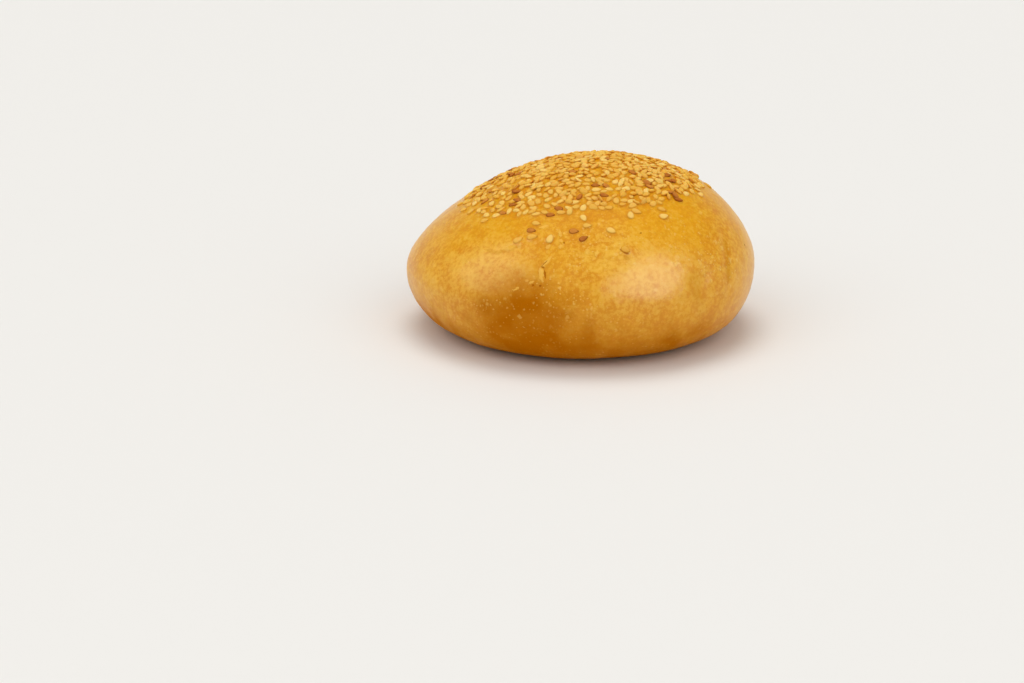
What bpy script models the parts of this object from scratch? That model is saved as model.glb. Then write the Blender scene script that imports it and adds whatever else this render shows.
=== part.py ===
"""Sesame burger bun: a domed bread roll that stands on its flat underside, with seeds baked onto its crown.

Metres, +Z up. The origin is on the underside, below the middle of the bun's outline. The bread is one
closed form, worked out from a few sizes, and the seeds are fused to it. A place on the bread is given by its
bearing, the angle round the vertical axis from +X, and its latitude, which is 0 at the belly, the widest
level, 90 degrees at the top of the crown and -90 degrees at the middle of the underside.
"""

import math
import random

import bmesh
import bpy
from mathutils import Matrix, Vector

# The bread
BUN_WIDTH = 0.1082
BUN_DEPTH = 0.1064
BELLY_HEIGHT = 0.0195
CROWN_RISE = 0.0336
# The crown is an ellipse that narrows towards its top, by this share and with this power of the rise
CROWN_SLIMMING = 0.165
CROWN_SLIM_POWER = 1.5
# The crown's top stands this share of its rise towards +X
LEAN = 0.20
LEAN_POWER = 1.25
# The lower edge is part ellipse, by this share, and part a squarer curve of this power
EDGE_ROUNDING = 0.40
EDGE_POWER = 8
# The lower half is carried past the ground by this share, and then cut flat
EDGE_OVERREACH = 1.12
# How the outline departs from an oval: lobes, share of the radius, phase in degrees
OUT_OF_ROUND = ((2, 0.004, 35.0), (3, 0.006, 120.0), (5, 0.003, 230.0))
# Soft rises and hollows of the baked dough: bearing and latitude in degrees, reach and rise in metres
SWELLINGS = (
    (-101.0, 27.0, 0.0110, -0.0008),
    (-106.0, 6.0, 0.0090, -0.0005),
    (-128.0, 20.0, 0.0140, 0.0005),
    (-68.0, 18.0, 0.0150, 0.0008),
    (-49.0, 8.0, 0.0065, -0.0009),
    (-12.0, 20.0, 0.0160, 0.0005),
    (38.0, 14.0, 0.0140, -0.0007),
    (78.0, 22.0, 0.0170, 0.0007),
    (118.0, 8.0, 0.0120, -0.0007),
    (165.0, 28.0, 0.0190, -0.0006),
    (182.0, -13.0, 0.0120, 0.0008),
    (10.0, 47.0, 0.0110, 0.0006),
)
GRID_CUTS = 15

# The seeds
SEED_LENGTH = 0.0031
SEED_BREADTH = 0.0020
SEED_THICKNESS = 0.0012
SEED_TAPER = 0.30
SEED_LIFT = 0.00022
SEED_TILT = 7.0
SEED_GAP = 0.0037
SEED_COUNT = 225
SEED_TRIES = 9000
SEED_DRAW = 7
# The seeded patch's edge, as a share of the belly's radius: middle value, shift to one side, and oval part
PATCH_REACH = 0.685
PATCH_SHIFT = 0.07
PATCH_SHIFT_BEARING = 175.0
PATCH_OVAL = 0.045
# Seeds that lie apart, on the patch's edge or below it: bearing, latitude and heading in degrees
STRAY_SEEDS = (
    (-147.0, 36.5, 35), (-144.0, 40.2, 30), (-123.0, 32.2, 40), (-120.2, 37.4, 5), (-118.0, 34.6, 20),
    (-120.2, 41.0, -5), (-116.2, 46.0, 10), (-110.0, 34.8, 85), (-100.8, 39.2, 0), (-98.0, 45.8, -60),
    (-95.2, 42.0, 0), (-95.5, 35.8, 30), (-83.5, 39.5, -35), (-77.5, 30.2, -35), (-73.0, 46.8, 80),
    (-69.2, 48.5, -35), (-54.0, 47.8, -35), (-55.2, 44.2, 0), (-38.0, 50.5, -40), (-16.2, 47.2, 0),
    (8.0, 44.0, 60), (31.0, 41.0, 20), (52.0, 46.0, -40), (70.0, 37.0, 75), (95.0, 43.0, 15),
    (113.0, 38.0, -60), (131.0, 42.0, 0), (146.0, 38.0, 45), (179.5, 35.0, 55), (-169.0, 35.5, 30),
    (-162.2, 37.0, 75), (-149.5, 38.8, 0), (-142.0, 42.0, 10), (-136.2, 45.0, 0), (-111.2, 47.8, 5),
    (-100.0, 51.2, 80), (-97.2, 53.8, 85), (-91.8, 53.8, 60), (-70.2, 54.2, 20), (-57.0, 51.5, 30),
    (-49.5, 53.0, 0), (-55.2, 59.3, 40), (-42.2, 64.8, 0), (-21.0, 59.5, 20), (-37.8, 55.2, -30),
    (-19.8, 50.8, 20), (-96.2, 65.0, 0), (-94.8, 62.0, 10), (-80.0, 55.2, 80),
)

CRUST_COLOUR = (0.68, 0.33, 0.05, 1.0)
CRUST_ROUGHNESS = 0.45


def clear_scene():
    """Removes whatever the scene holds."""
    for thing in list(bpy.data.objects):
        bpy.data.objects.remove(thing)


def belly_radius(bearing):
    """Distance from the middle to the belly, towards bearing, in metres."""
    oval = 1 / math.hypot(2 * math.cos(bearing) / BUN_WIDTH, 2 * math.sin(bearing) / BUN_DEPTH)
    waves = (share * math.cos(lobes * bearing + math.radians(phase)) for lobes, share, phase in OUT_OF_ROUND)
    return oval * (1 + sum(waves))


def plain_point(bearing, latitude):
    """Place on the bread before its soft rises and hollows."""
    climb = abs(math.sin(latitude))
    if latitude >= 0:
        reach = math.cos(latitude) * (1 - CROWN_SLIMMING * climb**CROWN_SLIM_POWER)
        height = BELLY_HEIGHT + CROWN_RISE * climb
        shift = LEAN * CROWN_RISE * climb**LEAN_POWER
    else:
        reach = math.sqrt(max(0, 1 - EDGE_ROUNDING * climb**2 - (1 - EDGE_ROUNDING) * climb**EDGE_POWER))
        height = BELLY_HEIGHT * (1 - EDGE_OVERREACH * climb)
        shift = 0
    radius = reach * belly_radius(bearing)
    return Vector((radius * math.cos(bearing) + shift, radius * math.sin(bearing), height))


def outline_middle():
    """Middle of the bread's extent along X and Y, which the origin lies under."""
    rim = [
        plain_point(math.radians(bearing), math.radians(latitude))
        for bearing in range(0, 360, 5)
        for latitude in range(-40, 41, 4)
    ]
    across = [point.x for point in rim]
    along = [point.y for point in rim]
    return Vector(((max(across) + min(across)) / 2, (max(along) + min(along)) / 2, 0))


def bread_point(bearing, latitude, middle):
    """Place on the finished bread, cut flat where it meets the ground."""
    point = plain_point(bearing, latitude)
    outward = (point - Vector((0, 0, BELLY_HEIGHT))).normalized()
    moved = point.copy()
    for swell_bearing, swell_latitude, reach, rise in SWELLINGS:
        peak = plain_point(math.radians(swell_bearing), math.radians(swell_latitude))
        moved += outward * rise * math.exp(-(((point - peak).length / reach) ** 2))
    moved.z = max(moved.z, 0)
    return moved - middle


def seat(bearing, latitude, middle):
    """Axes at a place on the bread: X runs level round it, Y climbs the crown and Z faces out."""
    step = math.radians(0.6)
    level = bread_point(bearing + step, latitude, middle) - bread_point(bearing - step, latitude, middle)
    climb = bread_point(bearing, latitude + step, middle) - bread_point(bearing, latitude - step, middle)
    outward = level.cross(climb).normalized()
    level.normalize()
    return Matrix((level, outward.cross(level), outward)).transposed().to_4x4()


def object_from(form, name):
    """Turns a bmesh into an object of that name."""
    mesh = bpy.data.meshes.new(name)
    form.to_mesh(mesh)
    form.free()
    return bpy.data.objects.new(name, mesh)


def make_bread(middle):
    """The bare bread: a cube's even grid, rounded to a ball and carried onto the bun's surface."""
    form = bmesh.new()
    bmesh.ops.create_cube(form, size=2.0)
    bmesh.ops.subdivide_edges(form, edges=form.edges[:], cuts=GRID_CUTS, use_grid_fill=True)
    for corner in form.verts:
        direction = Vector(math.tan(side * math.pi / 4) for side in corner.co).normalized()
        bearing = math.atan2(direction.y, direction.x)
        corner.co = bread_point(bearing, math.asin(direction.z), middle)
    bmesh.ops.recalc_face_normals(form, faces=form.faces[:])
    return object_from(form, "bun")


def patch_reach(bearing):
    """Edge of the seeded patch towards bearing, as a share of the belly's radius."""
    shift = PATCH_SHIFT * math.cos(bearing - math.radians(PATCH_SHIFT_BEARING))
    return PATCH_REACH + shift + PATCH_OVAL * math.cos(2 * bearing)


def seed_places(draw, middle):
    """Bearing, latitude and heading of each seed: the strays, then places on the patch clear of others."""
    kept = [tuple(math.radians(angle) for angle in stray) for stray in STRAY_SEEDS]
    points = [bread_point(bearing, latitude, middle) for bearing, latitude, _ in kept]
    for _ in range(SEED_TRIES):
        bearing = draw.uniform(-math.pi, math.pi)
        latitude = math.acos(math.sqrt(draw.random()) * patch_reach(bearing))
        heading = draw.uniform(-math.pi, math.pi)
        point = bread_point(bearing, latitude, middle)
        if len(kept) < SEED_COUNT and all((point - other).length > SEED_GAP for other in points):
            kept.append((bearing, latitude, heading))
            points.append(point)
    return kept


def make_seed(number, place, draw, middle):
    """One seed: a ball drawn out to a flat teardrop, laid on the crown at its own heading and tilt."""
    form = bmesh.new()
    bmesh.ops.create_icosphere(form, subdivisions=1, radius=1.0)
    for corner in form.verts:
        narrowing = 1 - SEED_TAPER * corner.co.x
        corner.co.y *= narrowing
    seed = object_from(form, f"seed_{number:03d}")
    bearing, latitude, heading = place
    size = draw.uniform(0.9, 1.1)
    scale = Matrix.Diagonal((SEED_LENGTH * size / 2, SEED_BREADTH * size / 2, SEED_THICKNESS / 2, 1))
    tilt = Matrix.Rotation(math.radians(draw.uniform(-SEED_TILT, SEED_TILT)), 4, "X")
    stand = seat(bearing, latitude, middle) @ Matrix.Rotation(heading, 4, "Z")
    centre = Matrix.Translation(bread_point(bearing, latitude, middle))
    lift = Matrix.Translation((0, 0, SEED_LIFT))
    seed.data.transform(centre @ stand @ lift @ tilt @ scale)
    return seed


def fuse(bread, seeds):
    """Joins the seeds to the bread as one closed body, and removes their own objects."""
    union = bread.modifiers.new("fuse_seeds", "BOOLEAN")
    union.operation = "UNION"
    union.operand_type = "COLLECTION"
    union.collection = seeds
    union.solver = "EXACT"
    with bpy.context.temp_override(object=bread, active_object=bread):
        bpy.ops.object.modifier_apply(modifier=union.name)
    for seed in list(seeds.objects):
        bpy.data.objects.remove(seed)
    bpy.data.collections.remove(seeds)


def crust_material():
    """Baked golden crust."""
    material = bpy.data.materials.new("crust")
    material.use_nodes = True
    shader = material.node_tree.nodes["Principled BSDF"]
    shader.inputs["Base Color"].default_value = CRUST_COLOUR
    shader.inputs["Roughness"].default_value = CRUST_ROUGHNESS
    shader.inputs["Metallic"].default_value = 0.0
    return material


def main():
    """Builds the bun in a collection of its own."""
    clear_scene()
    scene_root = bpy.context.scene.collection
    bun = bpy.data.collections.new("sesame_bun")
    seeds = bpy.data.collections.new("seeds")
    scene_root.children.link(bun)
    scene_root.children.link(seeds)

    middle = outline_middle()
    bread = make_bread(middle)
    bun.objects.link(bread)
    draw = random.Random(SEED_DRAW)
    for number, place in enumerate(seed_places(draw, middle)):
        seeds.objects.link(make_seed(number, place, draw, middle))
    fuse(bread, seeds)

    bread.data.materials.clear()
    bread.data.materials.append(crust_material())
    bread.data.shade_smooth()
    bread.data.set_sharp_from_angle(angle=math.radians(35))


main()
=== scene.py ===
"""Looks of a sesame burger bun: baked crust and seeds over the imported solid, in a plain pale studio.

Metres, +Z up, in the frame's own axes. The crust repeats the solid's form from the same sizes, on a finer
grid, and adds the relief that the solid leaves out. A place on the bread is given by its bearing, the angle
round the vertical axis from +X, and its latitude, 0 at the belly, 90 degrees at the crown's top and -90
under the bun.
"""

import logging
import math
import random
from dataclasses import dataclass, field
from enum import Enum
from typing import Any, Optional, Union

import bmesh
import bpy
import numpy as np
from mathutils import Matrix, Vector, kdtree, noise


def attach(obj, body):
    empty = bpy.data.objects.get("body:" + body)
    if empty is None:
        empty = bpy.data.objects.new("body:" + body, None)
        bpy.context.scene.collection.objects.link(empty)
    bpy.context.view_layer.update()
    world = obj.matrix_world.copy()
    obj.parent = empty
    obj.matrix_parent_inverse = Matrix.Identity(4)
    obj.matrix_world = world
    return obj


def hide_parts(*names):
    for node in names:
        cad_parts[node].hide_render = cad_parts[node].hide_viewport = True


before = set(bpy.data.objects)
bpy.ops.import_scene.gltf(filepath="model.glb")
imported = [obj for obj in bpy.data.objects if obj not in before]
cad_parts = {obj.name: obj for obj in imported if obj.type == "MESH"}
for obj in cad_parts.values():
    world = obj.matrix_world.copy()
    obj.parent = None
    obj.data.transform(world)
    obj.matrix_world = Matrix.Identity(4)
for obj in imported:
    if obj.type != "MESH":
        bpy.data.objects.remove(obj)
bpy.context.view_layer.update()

LOG = logging.getLogger("sesame_bun")

Colour = tuple[float, float, float]
Number = Union[float, "Shade"]

BODY = "root"


class Shade:
    """A number or colour that varies over a surface: one node's output, with Python's operators."""

    def __init__(self, paint: "Paint", socket: bpy.types.NodeSocket) -> None:
        """Keeps the output and the paint that its nodes belong to."""
        self.paint = paint
        self.socket = socket

    def __add__(self, other: Number) -> "Shade":
        """Sum."""
        return self.paint.maths("ADD", self, other)

    __radd__ = __add__

    def __sub__(self, other: Number) -> "Shade":
        """Difference."""
        return self.paint.maths("SUBTRACT", self, other)

    def __rsub__(self, other: float) -> "Shade":
        """Difference from a plain number."""
        return self.paint.maths("SUBTRACT", other, self)

    def __mul__(self, other: Number) -> "Shade":
        """Product."""
        return self.paint.maths("MULTIPLY", self, other)

    __rmul__ = __mul__

    def at_most(self, other: Number) -> "Shade":
        """The smaller of the two."""
        return self.paint.maths("MINIMUM", self, other)

    def at_least(self, other: Number) -> "Shade":
        """The larger of the two."""
        return self.paint.maths("MAXIMUM", self, other)

    def rise(self, start: float, end: float) -> "Shade":
        """Smooth step.

        Args:
            start: value at which the result is 0.
            end: value at which the result is 1. It may be below start.

        Returns:
            A value from 0 to 1.
        """
        settings = {"interpolation_type": "SMOOTHSTEP"}
        sockets = {"Value": self, "From Min": start, "From Max": end}
        return Shade(self.paint, self.paint.node("ShaderNodeMapRange", settings, sockets).outputs["Result"])


class Paint:
    """A material or a world being made: it adds nodes to it."""

    leaf_softness = 0.25
    speck_softness = 0.5
    speck_wander = 0.4
    speck_wave = 0.7

    def __init__(self, owner: Union[bpy.types.Material, bpy.types.World]) -> None:
        """Empties the owner's nodes.

        Args:
            owner: the material or world that gets the nodes.
        """
        self.owner = owner
        owner.use_nodes = True
        self.tree = owner.node_tree
        self.tree.nodes.clear()

    @classmethod
    def material(cls, name: str) -> "Paint":
        """Starts an empty material of that name."""
        return cls(bpy.data.materials.new(name))

    def node(
        self,
        kind: str,
        settings: Optional[dict[str, Any]] = None,
        sockets: Optional[dict[Union[str, int], Any]] = None,
    ) -> bpy.types.Node:
        """Adds any node.

        Args:
            kind: the node's type.
            settings: its own settings, set first.
            sockets: value, Shade or colour for each input, by name or place.

        Returns:
            The new node.
        """
        made = self.tree.nodes.new(kind)
        for name, value in (settings or {}).items():
            setattr(made, name, value)
        for place, value in (sockets or {}).items():
            self.feed(made.inputs[place], value)
        return made

    def feed(self, socket: bpy.types.NodeSocket, value: Any) -> None:
        """Links a Shade to an input, or sets a plain value on it.

        Args:
            socket: the input.
            value: a Shade, a number, a vector or a colour.
        """
        if isinstance(value, Shade):
            self.tree.links.new(value.socket, socket)
        elif isinstance(value, tuple) and socket.type == "RGBA":
            socket.default_value = (*value, 1.0)
        else:
            socket.default_value = value

    def maths(self, operation: str, first: Number, second: Number) -> Shade:
        """Adds one Math node on two numbers."""
        made = self.node("ShaderNodeMath", {"operation": operation}, {0: first, 1: second})
        return Shade(self, made.outputs[0])

    def vectors(self, operation: str, first: Any, second: Any = (0, 0, 0), scale: Number = 1.0) -> Shade:
        """Adds one Vector Math node.

        Args:
            operation: the node's operation.
            first: a vector.
            second: the other vector, where the operation takes one.
            scale: the number of the operation SCALE.

        Returns:
            A number for a length or a dot product, and a vector otherwise.
        """
        sockets = {0: first, 1: second, 3: scale}
        made = self.node("ShaderNodeVectorMath", {"operation": operation}, sockets)
        number = operation in ("LENGTH", "DOT_PRODUCT")
        return Shade(self, made.outputs["Value" if number else "Vector"])

    def leaf(self, place: Shade, start: Vector, end: Vector, width: float, blur: float) -> Shade:
        """A mark along a straight line, widest in its middle.

        Args:
            place: the place asked about.
            start: one end of the line, in metres.
            end: its other end.
            width: half the mark's greatest width, in metres.
            blur: how far it fades out beyond its edge, as a share of width.

        Returns:
            1 in the mark and 0 away from it.
        """
        leg = end - start
        offset = self.vectors("SUBTRACT", place, tuple(start))
        along = self.vectors("DOT_PRODUCT", offset, tuple(leg / leg.length_squared))
        share = along.at_least(0.0).at_most(1.0)
        nearest = self.vectors("SCALE", tuple(leg), scale=share)
        gap = self.vectors("LENGTH", self.vectors("SUBTRACT", offset, nearest))
        half_width = (1 - share) * share * (4 * width)
        inside = half_width - gap
        return inside.rise(-blur * width, self.leaf_softness * width)

    def mix(self, share: Number, first: Any, second: Any) -> Shade:
        """Mixes two colours.

        Args:
            share: how much of the second colour, from 0 to 1.
            first: a colour or a Shade.
            second: a colour or a Shade.

        Returns:
            The mixed colour.
        """
        settings = {"data_type": "RGBA", "clamp_factor": True}
        made = self.node("ShaderNodeMix", settings, {0: share, 6: first, 7: second})
        return Shade(self, made.outputs[2])

    def place(self) -> Shade:
        """Position on the piece, in metres."""
        return Shade(self, self.node("ShaderNodeTexCoord").outputs["Object"])

    def attribute(self, name: str) -> Shade:
        """A number kept on the mesh's points."""
        made = self.node("ShaderNodeAttribute", {"attribute_name": name})
        return Shade(self, made.outputs["Fac"])

    def clouds(self, size: float, detail: float = 2.0, harsh: float = 0.5) -> Shade:
        """Soft noise around 0.5.

        Args:
            size: width of its patches in metres.
            detail: number of finer layers.
            harsh: share of each finer layer.

        Returns:
            A value from 0 to 1.
        """
        sockets = {"Vector": self.place(), "Scale": 1 / size, "Detail": detail, "Roughness": harsh}
        return Shade(self, self.node("ShaderNodeTexNoise", sockets=sockets).outputs["Fac"])

    def shaken(self, reach: float, size: float) -> Shade:
        """Position on the piece, moved about, so that an outline read from it wavers.

        Args:
            reach: metres that it moves by at most.
            size: length of the waves in metres.

        Returns:
            The moved position.
        """
        sockets = {"Vector": self.place(), "Scale": 1 / size, "Detail": 2.0}
        wander = Shade(self, self.node("ShaderNodeTexNoise", sockets=sockets).outputs["Color"])
        moved = self.vectors("SUBTRACT", wander, (0.5, 0.5, 0.5))
        return self.vectors("ADD", self.place(), self.vectors("SCALE", moved, scale=2 * reach))

    def dots(self, spacing: float, largest: float) -> Shade:
        """Scattered round specks of many sizes.

        Args:
            spacing: metres between neighbours.
            largest: radius of the largest, as a share of the spacing.

        Returns:
            1 in the middle of a speck and 0 away from it.
        """
        place = self.shaken(spacing * self.speck_wander, spacing * self.speck_wave)
        sockets = {"Vector": place, "Scale": 1 / spacing}
        cells = self.node("ShaderNodeTexVoronoi", sockets=sockets)
        lots = self.node("ShaderNodeSeparateColor", sockets={0: Shade(self, cells.outputs["Color"])})
        speck = Shade(self, lots.outputs[0]) * largest - Shade(self, cells.outputs["Distance"])
        return speck.rise(0.0, largest * self.speck_softness)

    def bump(self, height: Shade, distance: float, strength: float, under: Optional[Shade] = None) -> Shade:
        """Raises the surface's shading.

        Args:
            height: the relief, from 0 to 1.
            distance: metres that a height of 1 stands for.
            strength: share of the effect.
            under: normals of a coarser bump.

        Returns:
            The bumped normal.
        """
        sockets = {"Height": height, "Distance": distance, "Strength": strength}
        if under is not None:
            sockets["Normal"] = under
        return Shade(self, self.node("ShaderNodeBump", sockets=sockets).outputs["Normal"])

    def finish(self, sockets: dict[str, Any]) -> bpy.types.Material:
        """Closes the material.

        Args:
            sockets: what the Principled shader's inputs take.

        Returns:
            The material.
        """
        shader = self.node("ShaderNodeBsdfPrincipled", sockets=sockets)
        self.node("ShaderNodeOutputMaterial", sockets={"Surface": Shade(self, shader.outputs[0])})
        return self.owner


@dataclass(frozen=True)
class Crease:
    """A line on the crust: a run of bearings and latitudes in degrees, the rest in metres."""

    run: tuple
    width: float
    depth: float
    paleness: float = 0.0
    # Darkening along the line: partly glaze in the groove, partly painted shade.
    browning_and_shade: float = 0.0


@dataclass(frozen=True)
class Mark:
    """A small leaf-shaped mark: its ends' bearings and latitudes in degrees, and half its width in metres."""

    start: tuple[float, float]
    end: tuple[float, float]
    width: float


@dataclass(frozen=True)
class CrustFinish:
    """Golden baked crust with a glaze coat on top, pale torn flaps, and dark slits and folds of painted
    shade.
    Its low band and the crust round the seeds are darkened partly with painted shade, and its rises are
    paled partly with painted highlight.

    Patches, blotches, specks, clusters, grains and depths are in metres. Weights say how much each counts.
    """

    form: "BunForm"
    flaps: tuple
    slits: tuple
    folds: tuple
    golden: Colour = (0.79, 0.358, 0.002)
    amber: Colour = (0.68, 0.236, 0.001)
    # Paler crust, also used as painted highlight on the glazed rises.
    pale: Colour = (0.88, 0.510, 0.060)
    # Round the seeds: browned glaze, with painted shade between them.
    glazed_and_shaded: Colour = (0.64, 0.215, 0.001)
    # Browned crust, also used as painted shade: low on the bun, in the creases and folds, and in the hollow
    # beside the right rise.
    browned_and_shaded: Colour = (0.46, 0.135, 0.001)
    baked_base: Colour = (0.42, 0.20, 0.055)
    crumb: Colour = (0.93, 0.56, 0.090)
    granule: Colour = (0.90, 0.56, 0.120)
    # Painted shade inside the slits and pits.
    slit_shade: Colour = (0.37, 0.080, 0.004)
    roughness: float = 0.50
    glaze_roughness: float = 0.28
    scatter_reach: float = 0.0020
    broad_patch: float = 0.024
    middling_patch: float = 0.0042
    fine_patch: float = 0.0012
    amber_weights: tuple = (0.45, 0.38, 0.42)
    amber_start: float = 0.37
    amber_loss: float = 0.4
    pale_weights: tuple = (0.54, 0.26)
    pale_start: float = 0.42
    blotch: float = 0.0050
    blotch_weight: float = 0.24
    small_speck: float = 0.0010
    large_speck: float = 0.0024
    speck_cluster: float = 0.007
    cluster_weight: float = 1.6
    speck_weight: float = 0.75
    speck_weight_lost: float = 0.35
    mark_wave: float = 0.0009
    flap_ragged: float = 0.0008
    slit_ragged: float = 0.0002
    fold_ragged: float = 0.0007
    fold_blur: float = 2.0
    fold_weight: float = 0.30
    flap_weight: float = 0.55
    slit_weight: float = 0.72
    shine_patch: float = 0.009
    shine_change: float = 0.16
    coat: float = 0.88
    skin_grain: float = 0.0018
    skin_depth: float = 0.00042
    fine_grain: float = 0.0007
    fine_depth: float = 0.00016
    speck_depth: float = 0.00014
    tear_depth: float = 0.00016

    def colour(self, paint: Paint, browned_and_shaded: Shade) -> Shade:
        """Crust colour: mottling, pale places partly painted highlight, darker places partly painted shade.

        Args:
            paint: the material being made.
            browned_and_shaded: how far the crust is darkened, by baking and by painted shade.

        Returns:
            The base colour.
        """
        broad = paint.clouds(self.broad_patch, detail=3.0).rise(0.36, 0.66)
        middling = paint.clouds(self.middling_patch, detail=3.0).rise(0.34, 0.68)
        fine = paint.clouds(self.fine_patch, detail=3.0, harsh=0.65).rise(0.36, 0.66)
        paleness = paint.attribute("paleness")
        by_broad, by_middling, by_fine = self.amber_weights
        amber_share = broad * by_broad + middling * by_middling + fine * by_fine - self.amber_start
        amber_share = amber_share - paleness * self.amber_loss
        tone = paint.mix(amber_share, self.golden, self.amber)
        by_fine, by_middling = self.pale_weights
        pale_share = (1 - fine) * by_fine + (1 - middling) * by_middling - self.pale_start
        # Paler places: less-baked crust, and on the two front rises and the crust between the right rise and
        # the seeds, painted highlight too.
        tone = paint.mix(pale_share + paleness, tone, self.pale)
        # Darker round the seeds: partly browned pooled glaze, partly painted shade.
        tone = paint.mix(paint.attribute("glazing_and_shade"), tone, self.glazed_and_shaded)
        # Darker where browned, and where painted shade is laid low on the bun, in the creases and in the
        # hollow beside the right rise.
        return paint.mix(browned_and_shaded, tone, self.browned_and_shaded)

    def browned_and_shaded_share(self, paint: Paint) -> Shade:
        """How far the crust is darkened, by baking and by painted shade, from 0 to 1, with a blotchy edge."""
        blotches = paint.clouds(self.blotch, detail=3.0) - 0.5
        return (paint.attribute("browning_and_shade") + blotches * self.blotch_weight).rise(0.06, 0.92)

    def specks(self, paint: Paint) -> Shade:
        """Pale specks where the skin has blistered.

        Args:
            paint: the material being made.

        Returns:
            A value from 0 to 1.
        """
        small = paint.dots(self.small_speck, 0.48)
        large = paint.dots(self.large_speck, 0.38)
        share = paint.attribute("speckling") + (paint.clouds(self.speck_cluster) - 0.5) * self.cluster_weight
        return small.at_least(large) * share.at_least(0.0)

    def marked(self, paint: Paint, marks: tuple, ragged: float, blur: float = 0.45) -> Shade:
        """Where any of the marks lies.

        Args:
            paint: the material being made.
            marks: the marks.
            ragged: metres by which their outlines waver.
            blur: how far each fades out, as a share of its width.

        Returns:
            A value from 0 to 1.
        """
        place = paint.shaken(ragged, self.mark_wave)
        inside = None
        for mark in marks:
            start, end = (self.form.point(*map(math.radians, stop)) for stop in (mark.start, mark.end))
            leaf = paint.leaf(place, start, end, mark.width, blur)
            inside = leaf if inside is None else inside.at_least(leaf)
        return inside

    def normal(self, paint: Paint, specks: Shade, flaps: Shade, slits: Shade) -> Shade:
        """Fine relief: a leathery skin, grain, blisters, and the edges of the tears.

        Args:
            paint: the material being made.
            specks: where the pale specks are.
            flaps: where the torn flaps are.
            slits: where the dark slits are.

        Returns:
            The bumped normal.
        """
        skin = paint.bump(paint.clouds(self.skin_grain, detail=3.0, harsh=0.6), self.skin_depth, 0.70)
        grain = paint.bump(paint.clouds(self.fine_grain, detail=2.0), self.fine_depth, 0.70, skin)
        raised = paint.bump(specks, self.speck_depth, 0.9, grain)
        return paint.bump(flaps - slits, self.tear_depth, 0.8, raised)

    def material(self) -> bpy.types.Material:
        """Makes the crust's material.

        Returns:
            The material.
        """
        paint = Paint.material("crust")
        flaps = self.marked(paint, self.flaps, self.flap_ragged)
        slits = self.marked(paint, self.slits, self.slit_ragged)
        folds = self.marked(paint, self.folds, self.fold_ragged, self.fold_blur)
        specks = self.specks(paint)
        browned_and_shaded = self.browned_and_shaded_share(paint)
        speck_share = specks * (self.speck_weight - browned_and_shaded * self.speck_weight_lost)
        colour = paint.mix(speck_share, self.colour(paint, browned_and_shaded), self.granule)
        # Fold lines: painted shade.
        colour = paint.mix(folds * self.fold_weight, colour, self.browned_and_shaded)
        colour = paint.mix(flaps * self.flap_weight, colour, self.crumb)
        # Dark slits and pits: painted shade inside the cracks.
        colour = paint.mix(slits * self.slit_weight, colour, self.slit_shade)
        colour = paint.mix(paint.attribute("underside"), colour, self.baked_base)
        patchy = (paint.clouds(self.shine_patch, detail=2.0) - 0.5) * self.shine_change
        return paint.finish(
            {
                "Base Color": colour,
                "Roughness": patchy + paint.attribute("underside") * 0.3 + self.roughness,
                "Normal": self.normal(paint, specks, flaps, slits),
                "IOR": 1.45,
                "Specular IOR Level": 0.0,
                "Coat Weight": (1 - browned_and_shaded) * (1 - folds * 0.5) * (self.coat - slits * 0.8),
                "Coat Roughness": self.glaze_roughness,
                "Coat IOR": 1.48,
                "Subsurface Weight": 0.15,
                "Subsurface Radius": (1.0, 0.45, 0.12),
                "Subsurface Scale": self.scatter_reach,
            }
        )


@dataclass(frozen=True)
class SeedFinish:
    """Baked sesame seed."""

    name: str
    light: Colour
    deep: Colour
    # Colour at the edge: partly a toasted edge, partly painted shade.
    rim: Colour
    roughness: float = 0.42
    mottle_patch: float = 0.0011
    tone_weight: float = 0.8
    mottle_weight: float = 0.9
    rim_start: float = 0.66
    rim_weight: float = 0.6
    tip_weight: float = 0.7
    shine_change: float = 0.2
    grain: float = 0.00045
    grain_depth: float = 0.00006
    scatter_reach: float = 0.0012

    def material(self) -> bpy.types.Material:
        """Makes the material for one kind of seed.

        Returns:
            The material.
        """
        paint = Paint.material(self.name)
        mottle = paint.clouds(self.mottle_patch, detail=3.0)
        tone = paint.attribute("tone") * self.tone_weight + (mottle - 0.5) * self.mottle_weight
        colour = paint.mix(tone, self.light, self.deep)
        # The darker edge is partly a more toasted edge and partly painted shade round each seed.
        edge = paint.attribute("rim").rise(self.rim_start, 1.0)
        colour = paint.mix(edge * self.rim_weight, colour, self.rim)
        colour = paint.mix(paint.attribute("tip") * self.tip_weight, colour, self.rim)
        return paint.finish(
            {
                "Base Color": colour,
                "Roughness": (mottle - 0.5) * self.shine_change + self.roughness,
                "Normal": paint.bump(paint.clouds(self.grain, detail=2.0), self.grain_depth, 0.5),
                "IOR": 1.45,
                "Specular IOR Level": 0.0,
                "Subsurface Weight": 0.25,
                "Subsurface Radius": (1.0, 0.5, 0.15),
                "Subsurface Scale": self.scatter_reach,
            }
        )


@dataclass(frozen=True)
class FloorFinish:
    """Smooth off-white table top."""

    white: Colour = (0.84, 0.825, 0.795)
    roughness: float = 0.75

    def material(self) -> bpy.types.Material:
        """Makes the floor's material."""
        paint = Paint.material("table_top")
        return paint.finish({"Base Color": self.white, "Roughness": self.roughness, "IOR": 1.3})


@dataclass(frozen=True)
class Swelling:
    """A soft rise or hollow of the baked dough: bearing and latitude in degrees, the rest in metres."""

    bearing: float
    latitude: float
    reach: float
    rise: float


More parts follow.
